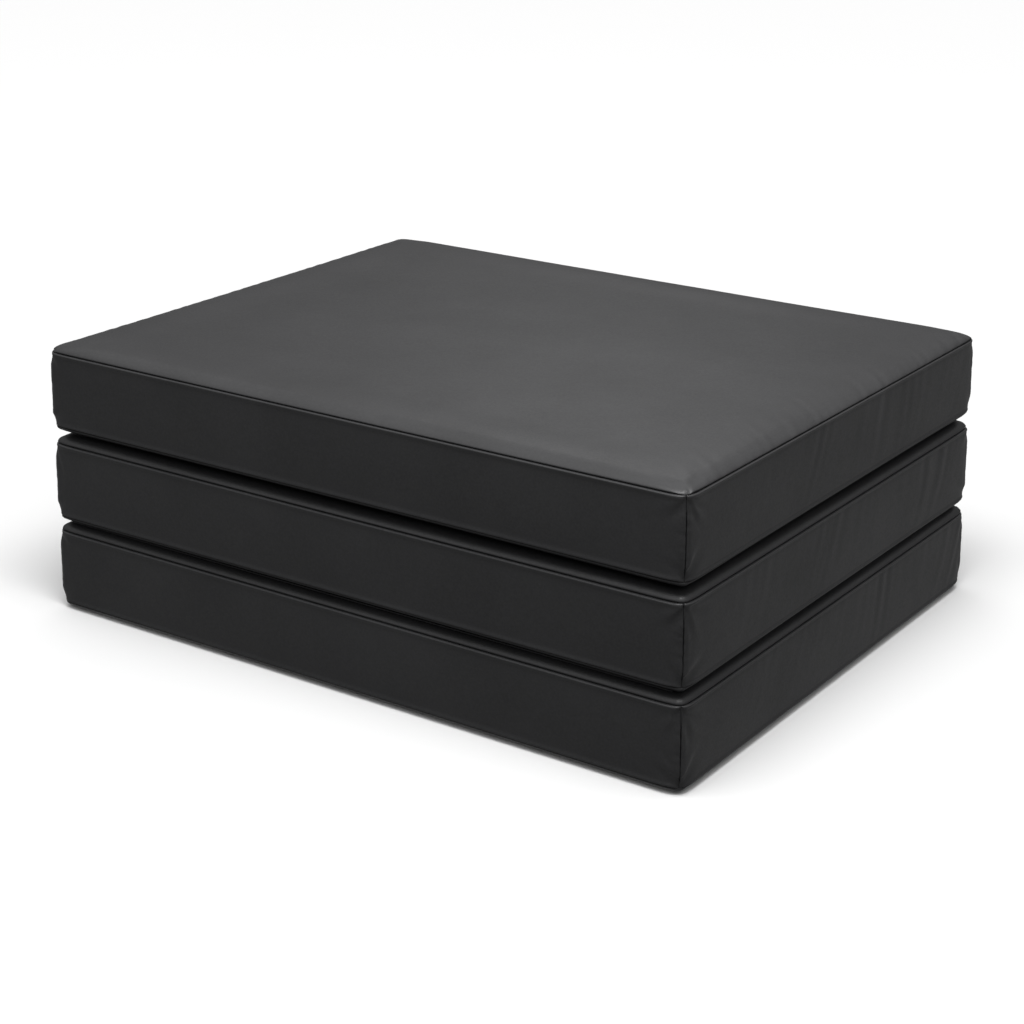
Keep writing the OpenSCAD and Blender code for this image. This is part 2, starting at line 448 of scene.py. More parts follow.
# The zip's stiff tapes keep the left wall's middle out in the plane of the pad's side.
co = points_of(skin)
level_part = 1 - np.clip((np.abs(co[:, 2] - SLOT_MIDDLE) - 8 * MM) / (34 * MM), 0, 1) ** 2
end_part = np.clip((HALF_W - 14 * MM - np.abs(co[:, 1])) / (18 * MM), 0, 1)
crown = (SEAM_INSET - 0.2 * MM) * level_part * end_part
co[:, 0] -= np.where(co[:, 0] < -HALF_L + 1 * MM, crown, 0)
set_points(skin, co)
for name in PANELS:
    skin.data.materials.append(bpy.data.materials.new(f"pattern_{name}"))
for face in skin.data.polygons:
    face.material_index = panel_of(face.center)
print("points on seams:", int(seam_points(skin).sum()), "of", len(skin.data.vertices))

# %% [markdown]
# ## Tension and bulge by cloth simulation
#
# The cover is sewn a little longer than its seams, pulled over the foam and pressed outwards by
# it. Blender's cloth does the same: the seams are pinned where they run, the cloth between them
# gets a rest shape that is slightly longer along the walls, and a pressure takes the foam's part.
# The extra length has nowhere to go, so it gathers in folds beside the seams, most of all at the
# corners. How far a point may move is limited smoothly, which keeps the pads flat and in size.

# %% Simulate one cover
FRAMES = 18
PRESSURE = 4.0
SLACK = 0.004          # extra length of the wall cloth along the seams
FREE_EDGE = 45 * MM    # further in than this, the panels lie flat on the foam


def wall_weight(co):
    """1 on the walls, falling to 0 on the flat panels."""
    middle = (SEAM_LOW + SEAM_HIGH) / 2
    half = (SEAM_HIGH - SEAM_LOW) / 2
    return np.clip(1.12 - 0.12 * np.maximum(np.abs(co[:, 2] - middle) / half, 1) ** 8, 0, 1)


def stretched_rest_shape(co, seed):
    """Where the points would lie if the wall cloth had all its length: longer along each wall."""
    rest = co.copy()
    rng = np.random.default_rng(seed)
    for axis, half in ((0, HALF_L), (1, HALF_W)):
        share = np.clip(co[:, axis] / half, -1, 1)
        wave = sum(a * np.sin(np.pi * k * share + p) / k
                   for k, a, p in zip((3, 5, 8), rng.uniform(0.3, 0.8, 3), rng.uniform(0, 6.3, 3)))
        on_wall = wall_weight(co)
        rest[:, axis] += on_wall * half * SLACK * (share + 0.25 * wave)
    return rest


def free_part(piece):
    """A copy of the skin without the middles of the flat panels, and the numbers of its points."""
    part = twin(piece, "free_part")
    numbers = part.data.attributes.new("number", "INT", "POINT")
    numbers.data.foreach_set("value", np.arange(len(part.data.vertices), dtype=np.int32))
    held = FREE_EDGE + 1.5 * GRID
    choose(part, lambda v: min(HALF_L - abs(v.co.x), HALF_W - abs(v.co.y)) > held, "VERT")
    bpy.ops.mesh.delete(type="VERT")
    leave_edit()
    kept = np.empty(len(part.data.vertices), np.int32)
    part.data.attributes["number"].data.foreach_get("value", kept)
    return part, kept


def simulate(cover, seed):
    """Runs the cloth on a pad's skin and returns how far each point has moved."""
    piece, kept = free_part(cover)
    co = points_of(piece)
    only(piece)
    pins = piece.vertex_groups.new(name="seams")
    pinned = seam_points(piece)
    slot = PANELS.index("slot")
    for face in piece.data.polygons:
        if face.material_index == slot:
            pinned[list(face.vertices)] = True
    inset = np.minimum(HALF_L - np.abs(co[:, 0]), HALF_W - np.abs(co[:, 1]))
    pinned |= inset > FREE_EDGE
    pins.add([int(i) for i in np.flatnonzero(pinned)], 1.0, "REPLACE")
    piece.shape_key_add(name="Basis")
    rest = piece.shape_key_add(name="cut length")
    rest.data.foreach_set("co", stretched_rest_shape(co, seed).astype(np.float32).ravel())
    cloth = piece.modifiers.new("Cloth", "CLOTH")
    settings = cloth.settings
    settings.quality = 5
    settings.mass = 0.35
    settings.tension_stiffness = settings.compression_stiffness = 25
    settings.shear_stiffness = 12
    settings.bending_stiffness = 3
    settings.use_pressure = True
    settings.uniform_pressure_force = PRESSURE
    settings.effector_weights.gravity = 0
    settings.vertex_group_mass = pins.name
    settings.pin_stiffness = 1.0
    settings.rest_shape_key = rest
    cloth.collision_settings.use_collision = False
    cloth.point_cache.frame_start, cloth.point_cache.frame_end = 1, FRAMES
    for step in range(1, FRAMES + 1):
        bpy.context.scene.frame_set(step)
    graph = bpy.context.evaluated_depsgraph_get()
    moved = np.zeros((len(cover.data.vertices), 3))
    moved[kept] = points_of(piece.evaluated_get(graph)) - co
    bpy.context.scene.frame_set(1)
    bpy.data.objects.remove(piece)
    return moved

# %% [markdown]
# The simulated points are taken back to the pad in three steps: the movement is limited smoothly,
# the flat panels are held to the plane that they rest on, and one subdivision rounds the grid.


# %% Shape one cover from its simulation
WALL_LIMIT = 2.4 * MM
EDGE_LIMIT = 2.2 * MM


def limited(moved, limit):
    """The same movement, but its length levels off smoothly at the limit."""
    length = np.linalg.norm(moved, axis=1, keepdims=True)
    limit = np.reshape(limit, (-1, 1))
    return moved * np.where(length > 1e-9, limit * np.tanh(length / limit) / np.maximum(length, 1e-9), 1)


def evened(moved, piece, rounds):
    """Averages the movement over neighbouring points, which leaves folds but no grid-sized ribs."""
    ends = np.empty(2 * len(piece.data.edges), np.int32)
    piece.data.edges.foreach_get("vertices", ends)
    a, b = ends.reshape(-1, 2).T
    count = np.bincount(ends, minlength=len(moved))[:, None] + 1.0
    for _ in range(rounds):
        total = moved.copy()
        for axis in range(3):
            total[:, axis] += np.bincount(a, moved[b, axis], len(moved))
            total[:, axis] += np.bincount(b, moved[a, axis], len(moved))
        moved = total / count
    return moved


def shape_rolls(co, pad):
    """Sets the panels' heights. The upper pad's top lies free, so it is crowned a little."""
    inset = edge_distance(co)
    rise = roll_height(inset, PAD_T - SEAM_HIGH, TOP_ROLL, 0.28 if pad == "upper" else 0.06)
    fall = roll_height(inset, SEAM_LOW, BOTTOM_ROLL, 0.06)
    co[:, 2] = np.where(co[:, 2] > SEAM_HIGH + 1e-5, SEAM_HIGH + rise, co[:, 2])
    co[:, 2] = np.where(co[:, 2] < SEAM_LOW - 1e-5, SEAM_LOW - fall, co[:, 2])


def make_cover(pad, seed):
    cover = twin(skin, f"{pad}_cover")
    co = points_of(cover)
    shape_rolls(co, pad)
    set_points(cover, co)
    moved = evened(simulate(cover, seed), cover, 8)
    on_wall = wall_weight(co)
    # On the flat panels only a little of the movement is kept, and it dies out towards the middle.
    fade = 0.6 * np.clip(1 - edge_distance(co) / FREE_EDGE, 0, 1) ** 2
    moved *= np.where(on_wall > 0.5, 1, fade)[:, None]
    set_points(cover, co + limited(moved, EDGE_LIMIT + (WALL_LIMIT - EDGE_LIMIT) * on_wall))
    apply_modifier(cover, "SUBSURF", levels=1, render_levels=1)
    return cover


covers = {pad: make_cover(pad, 3 + i) for i, pad in enumerate(PADS)}
for pad, cover in covers.items():
    print(pad, "cover:", len(cover.data.polygons), "faces")

# %% [markdown]
# ## Seams, creases and corners
#
# A plain seam draws the cloth inwards: the two panels turn in against each other, which leaves a
# narrow dark line, and the thicker folded edge of the wall stands up as a small ridge beneath it
# that catches the light. A remesh would lose something so narrow, so it is worked in afterwards,
# by moving the rows of points on either side of each seam along their normals. Below the ridge the
# long walls stay full, while the cloth of the short ones tucks in a little.

# %% Rows beside the seams
LONG_WALL_PROFILE = (-2.6, -0.9, 0.3, 1.15, 1.4, 1.0, 0.45)     # outwards, in mm, row by row
SHORT_WALL_PROFILE = (-2.6, -0.9, 0.3, 1.1, 1.15, 0.2, -0.25)
PANEL_PROFILE = (-2.6, -1.5, -0.6, -0.15)
UPRIGHT_PROFILE = (-2.0, -0.9, 0.2, 0.35, 0.15, 0.05)
SLOT_PROFILE = (0.0, 0.0, 0.1, 0.05)


def rows_from_seams(piece):
    """For each point: how many edges away the nearest seam is, up to 7, its panel, and the kind of
    seam, which is 0 for an upright one, 1 for one round the top or bottom, and 2 for the slot."""
    mesh = bmesh.new()
    mesh.from_mesh(piece.data)
    mesh.verts.ensure_lookup_table()
    count = len(mesh.verts)
    row = np.full(count, 7)
    panel = np.zeros(count, int)
    kind = np.zeros(count, int)
    slot = PANELS.index("slot")
    edge_now = []
    for v in mesh.verts:
        numbers = {f.material_index for f in v.link_faces}
        panel[v.index] = max(numbers)
        if len(numbers) > 1:
            row[v.index] = 0
            kind[v.index] = 2 if slot in numbers else int(bool(numbers & {0, 1}))
            edge_now.append(v)
    for step in range(1, 7):
        edge_next = []
        for v in edge_now:
            for e in v.link_edges:
                other = e.other_vert(v)
                if row[other.index] > step:
                    row[other.index] = step
                    kind[other.index] = kind[v.index]
                    edge_next.append(other)
        edge_now = edge_next
    mesh.free()
    return row, panel, kind


def normals_of(piece):
    values = np.empty(len(piece.data.vertices) * 3)
    piece.data.vertices.foreach_get("normal", values)
    return values.reshape(-1, 3)


def work_seams(piece):
    row, panel, kind = rows_from_seams(piece)
    co = points_of(piece)
    on_panel = panel < 2
    on_long = np.isin(panel, [PANELS.index("front"), PANELS.index("back")])
    depth = np.zeros(len(co))
    for profile, mask in ((PANEL_PROFILE, on_panel),
                          (LONG_WALL_PROFILE, on_long & (kind == 1)),
                          (SHORT_WALL_PROFILE, ~on_panel & ~on_long & (kind == 1)),
                          (UPRIGHT_PROFILE, ~on_panel & (kind == 0)),
                          (SLOT_PROFILE, ~on_panel & (kind == 2))):
        table = np.array(list(profile) + [0.0] * (8 - len(profile)))
        depth = np.where(mask, table[row], depth)
    # Where three panels meet, the seams' folded edges are trimmed, so the profile fades there.
    corner = np.hypot(HALF_L - np.abs(co[:, 0]), HALF_W - np.abs(co[:, 1]))
    level = np.minimum(np.abs(co[:, 2] - SEAM_HIGH), np.abs(co[:, 2] - SEAM_LOW))
    near = np.exp(-((np.hypot(corner - 3 * MM, level) / (7 * MM)) ** 2))
    depth *= 1 - near * np.where(depth > 0, 0.9, 0.45)
    # The same corners are pulled hardest by the thread, so they are drawn in towards the pad.
    pull = 1.8 * MM * np.exp(-((corner / (14 * MM)) ** 2) - (level / (9 * MM)) ** 2)
    drawn = co + normals_of(piece) * depth[:, None] * MM
    drawn[:, :2] -= np.sign(co[:, :2]) * pull[:, None]
    set_points(piece, drawn)


for pad, cover in covers.items():
    work_seams(cover)
print("seams drawn in by", -PANEL_PROFILE[0], "mm")

# %% [markdown]
# Sewing also gathers the cloth. Short creases run into the wall from each upright seam, a fan of
# longer ones spreads from each corner, where three panels pull on one point, and the short walls
# hang in soft slanting waves from the upper seam. The simulation gives the pads their tension, but
# its grid is too coarse for these, so each one is pressed in along the normals: a valley with a
# raised lip on one side, deepest where it starts.


# %% Creases and waves
# How strongly the upright seams gather the cloth, by wall and end. It is most at the front right.
PULLED = {("front", 1): 0.9, ("right", -1): 1.15}
PULLED_LESS = 0.3


def crease(u, v, start, slope, length, width, depth):
    """Height of one crease at the points (u, v) of a wall. slope is in degrees."""
    turn = math.radians(slope)
    du, dv = u - start[0], v - start[1]
    along = (du * math.cos(turn) + dv * math.sin(turn)) / length
    across = (dv * math.cos(turn) - du * math.sin(turn)) / (width * (1 + 0.6 * np.clip(along, 0, 1)))
    fade = np.clip(1 - along, 0, 1) ** 1.5 * np.clip(1 + 8 * along, 0, 1)
    return depth * fade * (0.55 * np.exp(-((across - 1.9) ** 2)) - np.exp(-(across ** 2)))


def corner_creases(u, v, rng, high):
    """The ticks of an upright seam, and the fans at its two ends. u is the distance from it."""
    height = np.zeros_like(u)
    middle = (SEAM_LOW + SEAM_HIGH) / 2
    for place in np.arange(SEAM_LOW + 9 * MM, SEAM_HIGH - 6 * MM, 8.5 * MM):
        start = (-1 * MM, place + rng.uniform(-4, 4) * MM)
        lean = 0.9 * (middle - start[1]) / MM * -1 + rng.uniform(-14, 14)
        height += crease(u, v, start, lean * 0.5, rng.uniform(9, 24) * MM, rng.uniform(1.5, 2.6) * MM,
                         rng.uniform(0.5, 1.1) * MM * high)
    for end, turn in ((SEAM_HIGH, -1), (SEAM_LOW, 1)):
        for slope in rng.uniform(16, 72, 5):
            start = (2 * MM, end + turn * rng.uniform(3, 9) * MM)
            height += crease(u, v, start, turn * slope, rng.uniform(18, 48) * MM,
                             rng.uniform(2.2, 4.2) * MM, rng.uniform(1.0, 2.0) * MM * high)
    return height


def waves(along, rng, lengths):
    """An uneven row of soft waves, between -1 and 1 or so."""
    total = np.zeros_like(along)
    for length in lengths:
        swell = 0.6 + 0.4 * np.sin(2 * np.pi * along / (length * rng.uniform(4, 7)) + rng.uniform(0, 6))
        total += swell * np.sin(2 * np.pi * along / length + rng.uniform(0, 6))
    return total / len(lengths) ** 0.5


def hanging_waves(along, z, rng, lengths, depth):
    """Waves that hang from the upper seam and fade towards the lower one. They lean, and come in
    a few groups, with quiet cloth between."""
    below = (SEAM_HIGH - z) / (SEAM_HIGH - SEAM_LOW)
    slanted = along + 30 * MM * below + 5 * MM * np.sin(3 * below + along / (60 * MM))
    reach = np.clip(below / 0.1, 0, 1) * np.clip(1.1 - below, 0, 1)
    groups = np.clip(0.3 + waves(slanted, rng, (140 * MM, 210 * MM)), 0.12, 1)
    return depth * reach * groups * waves(slanted, rng, lengths)


def work_creases(piece, seed, loose_top):
    rng = np.random.default_rng(seed)
    co = points_of(piece)
    normal = normals_of(piece)
    row, panel, _ = rows_from_seams(piece)
    x, y, z = co.T
    height = np.zeros(len(co))
    for name, along, half in (("front", x, HALF_L), ("back", x, HALF_L),
                              ("right", y, HALF_W), ("left", y, HALF_W)):
        numbers = [i for i, other in enumerate(PANELS) if other.startswith(name)]
        on = np.flatnonzero(np.isin(panel, numbers) & (z > SEAM_LOW) & (z < SEAM_HIGH))
        short = name in ("right", "left")
        for end in (-1, 1):
            u = half - end * along[on]
            height[on] += corner_creases(u, z[on], rng, PULLED.get((name, end), PULLED_LESS))
        if short:
            toward_back = 0.55 + 0.45 * np.clip(along[on] / half, -1, 1)
            wave = hanging_waves(along[on], z[on], rng, (19 * MM, 31 * MM), 0.95 * MM)
            toward_back *= np.clip((half - np.abs(along[on])) / (35 * MM), 0, 1)
            near_zip = np.clip((np.abs(z[on] - SLOT_MIDDLE) - 6 * MM) / (10 * MM), 0, 1)
            height[on] += wave * toward_back * (near_zip if name == "left" else 1)
        else:
            height[on] += hanging_waves(along[on], z[on], rng, (60 * MM, 95 * MM), 0.16 * MM)
    if loose_top:
        height += top_creases(x, y, z, rng)
    # Where creases cross, their depths add up, so the sum is levelled off.
    deepest = np.where(height < 0, 1.5 * MM, 0.8 * MM)
    height = deepest * np.tanh(height / deepest) * np.clip(row / 3, 0, 1)
    co += normal * height[:, None]
    co[:, 2] = np.maximum(co[:, 2], 0)
    set_points(piece, co)


def top_creases(x, y, z, rng):
    """The upper pad's top lies free: soft hollows all over it, and fans of creases at its corners."""
    u, v = HALF_L - np.abs(x), HALF_W - np.abs(y)
    on = z > SEAM_HIGH + 1 * MM
    height = np.zeros_like(x)
    for sx in (-1, 1):
        for sy in (-1, 1):
            here = on & (x * sx > 0) & (y * sy > 0)
            for slope in (rng.uniform(6, 30), rng.uniform(6, 30), rng.uniform(55, 84), 45,
                          rng.uniform(60, 84), rng.uniform(30, 42)):
                height[here] += crease(u[here], v[here], (5 * MM, 5 * MM), slope,
                                       rng.uniform(45, 95) * MM, rng.uniform(3, 5) * MM,
                                       rng.uniform(0.5, 0.9) * MM)
    inner = np.clip((np.minimum(u, v) - 4 * MM) / (30 * MM), 0, 1)
    cloud = waves(x + 0.4 * y, rng, (170 * MM, 260 * MM)) + waves(y - 0.3 * x, rng, (150 * MM, 230 * MM))
    height += np.where(on, 0.28 * MM * inner * cloud, 0)
    edge = np.clip(1 - u / (70 * MM), 0, 1) * np.clip(v / (30 * MM), 0, 1)
    height += np.where(on, 0.3 * MM * edge * waves(y + 0.8 * x, rng, (17 * MM, 26 * MM)), 0)
    return height


for i, (pad, cover) in enumerate(covers.items()):
    work_creases(cover, 40 + i, pad == "upper")
print("creases pressed into", len(covers), "covers")

# %% [markdown]
# ## Take the cover apart into its panels
#
# Separating by material number gives one object for each panel. Its open border lies at the
# bottom of a seam, where the real cloth turns in, so the border is extruded inwards as a hem, and
# a Solidify gives the cloth its thickness towards the inside.


# %% Separate, hem and thicken
def hem_and_thicken(panel, middle):
    """Turns the open border inwards, towards the pad's middle, and gives the cloth thickness."""
    choose(panel, lambda e: e.is_boundary, "EDGE")
    bpy.ops.mesh.extrude_region_move()
    mesh = bmesh.from_edit_mesh(panel.data)
    for v in mesh.verts:
        if v.select:
            inwards = Vector((middle[0] - v.co.x, middle[1] - v.co.y, 0))
            beside_slot = abs(v.co.z - SLOT_MIDDLE) < 6 * MM and v.co.x < 0
            v.co += inwards.normalized() * (0.2 if beside_slot else 4) * MM
    bmesh.update_edit_mesh(panel.data)
    leave_edit()
    apply_modifier(panel, "SOLIDIFY", thickness=CLOTH, offset=-1, use_even_offset=False)
    smooth(panel)


def split_cover(pad, cover):
    edit_all(cover)
    bpy.ops.mesh.separate(type="MATERIAL")
    leave_edit()
    panels = {}
    for piece in list(bpy.context.selected_objects):
        name = piece.data.materials[0].name.removeprefix("pattern_")
        piece.data.materials.clear()
        piece.data.materials.append(cover_cloth)
        piece.data.polygons.foreach_set("material_index", [0] * len(piece.data.polygons))
        if name == "slot":
            bpy.data.objects.remove(piece)
            continue
        piece.name = piece.data.name = f"{pad}_cover_{name}"
        hem_and_thicken(piece, (0, 0))
        piece.data.transform(Matrix.Translation((0, 0, PAD_BASE[pad])))
        panels[name] = piece
    return panels


panels = {pad: split_cover(pad, cover) for pad, cover in covers.items()}
bpy.data.objects.remove(skin)
NODE_OF = {"top": "top_panel", "bottom": "bottom_panel", "front": "front_boxing",
           "right": "right_boxing", "back": "back_boxing", "left_above_zip": "left_boxing_above_zip",
           "left_below_zip": "left_boxing_below_zip"}
for pad in PADS:
    for name, piece in panels[pad].items():
        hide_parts(f"{pad}_{NODE_OF[name]}")
        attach(piece, f"{pad}_pad")
    print(pad, "panels:", sum(len(p.data.polygons) for p in panels[pad].values()), "faces")

# %% [markdown]
# ## Foam
#
# Inside each cover is one slab of polyurethane foam with its edges cut square and rubbed round.
# It is never seen while the cover is closed, but a scene may open a zip, so it is there. It stands
# a few millimetres clear of the cover's hems.


# %% Foam slabs
def make_foam_material():
    material, tree, shader = new_material("open_cell_polyurethane_foam")
    place = node(tree, "ShaderNodeTexCoord").outputs["Object"]
    cells = node(tree, "ShaderNodeTexVoronoi", {"Vector": place, "Scale": 700.0}).outputs["Distance"]
    # The colour is darker towards the middle of each cell, where the bump is lowest: painted shade in the
    # foam's pores.
    colour = ramp(tree, cells, linear("b9b49f"), linear("e2ddca"), 0.0, 0.7)
    tree.links.new(colour, shader.inputs["Base Color"])
    bump = node(tree, "ShaderNodeBump", {"Height": cells, "Strength": 0.6, "Distance": 0.0006})
    tree.links.new(bump.outputs["Normal"], shader.inputs["Normal"])
    shader.inputs["Roughness"].default_value = 0.95
    shader.inputs["Specular IOR Level"].default_value = 0.2
    return material


FOAM_CLEAR = 6.5 * MM      # from the seams, at the sides
FOAM_UNDER, FOAM_OVER = 4 * MM, 6 * MM
foam_material = make_foam_material()
foams = {}
for pad in PADS:
    low = (FOAM_CLEAR - HALF_L, FOAM_CLEAR - HALF_W, PAD_BASE[pad] + FOAM_UNDER)
    high = (HALF_L - FOAM_CLEAR, HALF_W - FOAM_CLEAR, PAD_BASE[pad] + PAD_T - FOAM_OVER)
    foam = block(f"{pad}_foam_slab", low, high)
    apply_modifier(foam, "BEVEL", width=9 * MM, segments=5)
    smooth(foam)
    foam.data.materials.append(foam_material)
    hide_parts(f"{pad}_foam_core")
    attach(foam, f"{pad}_pad")
    foams[pad] = foam
print("foam slab:", [round((b - a) * 1000) for a, b in zip(low, high)], "mm")

# %% [markdown]
# ## Zips
#
# Each cover closes with a nylon coil zip along the middle of its left side. The two tapes lie
# behind the slot in the wall. Cloth, plastic and metal each have their own finish.


# %% Zip materials
def plain_material(name, colour, roughness, specular=0.5, metallic=0.0):
    material, tree, shader = new_material(name)
    shader.inputs["Base Color"].default_value = linear(colour)
    shader.inputs["Roughness"].default_value = roughness
    shader.inputs["Specular IOR Level"].default_value = specular
    shader.inputs["Metallic"].default_value = metallic
    return material, tree, shader


def add_bump(tree, shader, height, strength, distance):
    bump = node(tree, "ShaderNodeBump",
                {"Height": height, "Strength": strength, "Distance": distance})
    tree.links.new(bump.outputs["Normal"], shader.inputs["Normal"])


def woven(tree, pitch, across, along):
    """The height of a plain weave in which the threads run along two of the three axes."""
    place = node(tree, "ShaderNodeTexCoord").outputs["Object"]
    parts = node(tree, "ShaderNodeSeparateXYZ", {"Vector": place}).outputs
    waves = []
    for axis in (across, along):
        turns = node(tree, "ShaderNodeMath", {0: parts[axis], 1: 2 * math.pi / pitch},
                     operation="MULTIPLY").outputs[0]
        waves.append(node(tree, "ShaderNodeMath", {0: turns}, operation="SINE").outputs[0])
    return node(tree, "ShaderNodeMath", {0: waves[0], 1: waves[1]}, operation="MULTIPLY").outputs[0]


# Woven polyester tape, dyed black.
tape_material, tree, shader = plain_material("woven_polyester_zip_tape", "1b1b1c", 0.85, 0.3)
add_bump(tree, shader, woven(tree, 0.0009, "Y", "Z"), 0.5, 0.0002)
# Drawn nylon thread, dyed black, with the soft shine of plastic.
coil_material, tree, shader = plain_material("nylon_coil", "191919", 0.38, 0.45)
# Die-cast zinc with a baked black enamel. Orange-peel in the enamel breaks its shine a little.
metal_material, tree, shader = plain_material("black_enamelled_zinc", "1c1c1d", 0.3, 0.5)
place = node(tree, "ShaderNodeTexCoord").outputs["Object"]
peel = node(tree, "ShaderNodeTexNoise", {"Vector": place, "Scale": 1500.0}).outputs["Fac"]
add_bump(tree, shader, peel, 0.15, 0.00008)
print("zip materials:", tape_material.name, coil_material.name, metal_material.name)


# %% [markdown]
# A coil is one thick thread wound into loops, so each row is one small rounded loop, repeated by an
# Array, and the two rows mesh with half a step between them. The tapes are thin woven strips.

# %% Tapes and coils
COIL_PITCH = 1.5 * MM


def finish_part(piece, pad, node_name, material, body):
    piece.data.materials.clear()
    piece.data.materials.append(material)
    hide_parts(f"{pad}_{node_name}")
    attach(piece, body)
    return piece


def add_coil(pad, side):
    """One row of loops. The upper row starts half a step later, so that it meshes with the lower."""
    low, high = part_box(f"{pad}_zip_coil_{side}")
    reach = 0.75 * MM if side == "above" else 0
    start = low.y + 0.3 * MM + reach
    # The loops' noses pass the zip's middle line by a little, as they do in a closed zip.
    nose = 0.35 * MM
    bottom, top = (low.z - nose, high.z) if side == "above" else (low.z, high.z + nose)
    name = f"{pad}_zip_loops_{side}"
    loop = block(name, (low.x + 0.1 * MM, start, bottom), (high.x + 0.15 * MM, start + 0.7 * MM, top))
    apply_modifier(loop, "BEVEL", width=0.24 * MM, segments=1)
    count = int((high.y - start - 1.0 * MM) / COIL_PITCH)
    repeat(loop, count, (0, COIL_PITCH, 0))
    smooth(loop)
    return finish_part(loop, pad, f"zip_coil_{side}", coil_material, f"{pad}_pad")


def add_tape(pad, side):
    low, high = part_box(f"{pad}_zip_tape_{side}")
    tape = block(f"{pad}_zip_tape_cloth_{side}", (low.x + 0.2 * MM, low.y, low.z), high)
    cut(tape, 1, [low.y + (high.y - low.y) * i / 24 for i in range(1, 24)])
    apply_modifier(tape, "BEVEL", width=0.12 * MM, segments=2)
    finish_part(tape, pad, f"zip_tape_{side}", tape_material, f"{pad}_pad")
    return tape


for pad in PADS:
    for side in ("above", "below"):
        add_tape(pad, side)
        coil = add_coil(pad, side)
print("one row of loops:", len(coil.data.polygons), "faces")


# %% [markdown]
# The slider, its pull and the end stops are hard parts, so they start from the frame's own shapes
# and only get their edges rounded.

# %% Sliders, pulls and stops
def rounded_cad_part(node_name, name, width):
    """A copy of a hard part of the frame, with its edges rounded."""
    piece = twin(bpy.data.objects[node_name], name)
    piece.parent = None
    piece.hide_render = piece.hide_viewport = False
    edit_all(piece)
    bpy.ops.mesh.remove_doubles(threshold=0.005 * MM)
    bpy.ops.mesh.dissolve_limited(angle_limit=math.radians(3))
    leave_edit()
    apply_modifier(piece, "BEVEL", width=width, segments=2, limit_method="ANGLE")
    only(piece)
    bpy.ops.object.shade_smooth_by_angle(angle=math.radians(40))
    return piece


for pad in PADS:
    for part, width, body in (("zip_stops", 0.3 * MM, "pad"), ("zip_slider", 0.2 * MM, "slider"),
                              ("zip_pull", 0.2 * MM, "pull")):
        piece = rounded_cad_part(f"{pad}_{part}", f"{pad}_{part}_rounded", width)
        finish_part(piece, pad, part, metal_material, f"{pad}_{body}")
        print(piece.name, len(piece.data.polygons), "faces")

# %% [markdown]
# ## Hinge strips
#
# A strip of the cover's cloth joins the lower pad to the middle one along the front, and another
# joins the middle to the upper along the back. Folded up, a strip lies doubled in the gap. It is
# laid out flat, cut into rows, and then the rows are taken round the fold.


# %% Hinge strips
STRIP_CLOTH = 0.5 * MM
FOLD_HALF = 0.3 * MM       # half the height of the fold
STITCH_PITCH, STITCH = 5 * MM, 3.6 * MM


def add_strip(name, node_name, y_sign, height, bodies):
    low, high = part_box(node_name)
    layer = (high.z - low.z) / 2 - 0.4 * MM      # the flanges' height above and below the middle
    fold = max(abs(low.y), abs(high.y))
    flange = fold - min(abs(low.y), abs(high.y))
    half = flange + layer
    strip = block(name, (low.x, -half, -0.1 * MM), (high.x, half, 0.1 * MM))
    choose(strip, lambda f: f.normal.z < 0.5)
    bpy.ops.mesh.delete(type="FACE")
    leave_edit()
    cut(strip, 0, [low.x + (high.x - low.x) * i / 40 for i in range(1, 40)])
    # Each row of the flat strip, by its distance from the fold line, and where it goes.
    rows = {0.35 * MM: (0.0, FOLD_HALF), 0.9 * MM: (0.35 * MM, layer * 0.75),
            1.6 * MM: (1.1 * MM, layer), 6 * MM: (5.6 * MM, layer),
            12 * MM: (11.6 * MM, layer), half: (flange, layer)}
    cut(strip, 1, [s * v for v in list(rows)[:-1] for s in (-1, 1)])
    co = points_of(strip)
    keys = np.array(list(rows))
    nearest = np.abs(np.abs(co[:, 1])[:, None] - keys).argmin(axis=1)
    placed = np.array(list(rows.values()))[nearest]
    side = np.sign(co[:, 1])
    co[:, 2] = height + side * placed[:, 1]
    co[:, 1] = y_sign * (fold - placed[:, 0])
    set_points(strip, co)
    apply_modifier(strip, "SOLIDIFY", thickness=STRIP_CLOTH, offset=0)
    edit_all(strip)
    bpy.ops.mesh.normals_make_consistent(inside=False)
    leave_edit()
    bpy.ops.object.shade_smooth()
    strip.data.materials.append(cover_cloth)
    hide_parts(node_name)
    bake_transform(strip)
    for body, side in zip(bodies, (-1, 1)):
        add_stitches(f"{name}_stitches_{body}", (low.x + 4 * MM, high.x - 4 * MM),
                     y_sign * (fold - 6 * MM), height + side * (layer - STRIP_CLOTH / 2), body)
    return strip


def add_stitches(name, reach, y, z, body):
    """A straight row of lock stitches, lying on the cloth."""
    low, high = (reach[0], y - 0.22 * MM, z - 0.15 * MM), (reach[0] + STITCH, y + 0.22 * MM, z + 0.15 * MM)
    row = block(name, low, high)
    apply_modifier(row, "BEVEL", width=0.1 * MM, segments=1)
    count = int((reach[1] - reach[0]) / STITCH_PITCH)
    repeat(row, count, (STITCH_PITCH, 0, 0))
    row.data.materials.append(thread_material)
    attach(row, body)
    return row


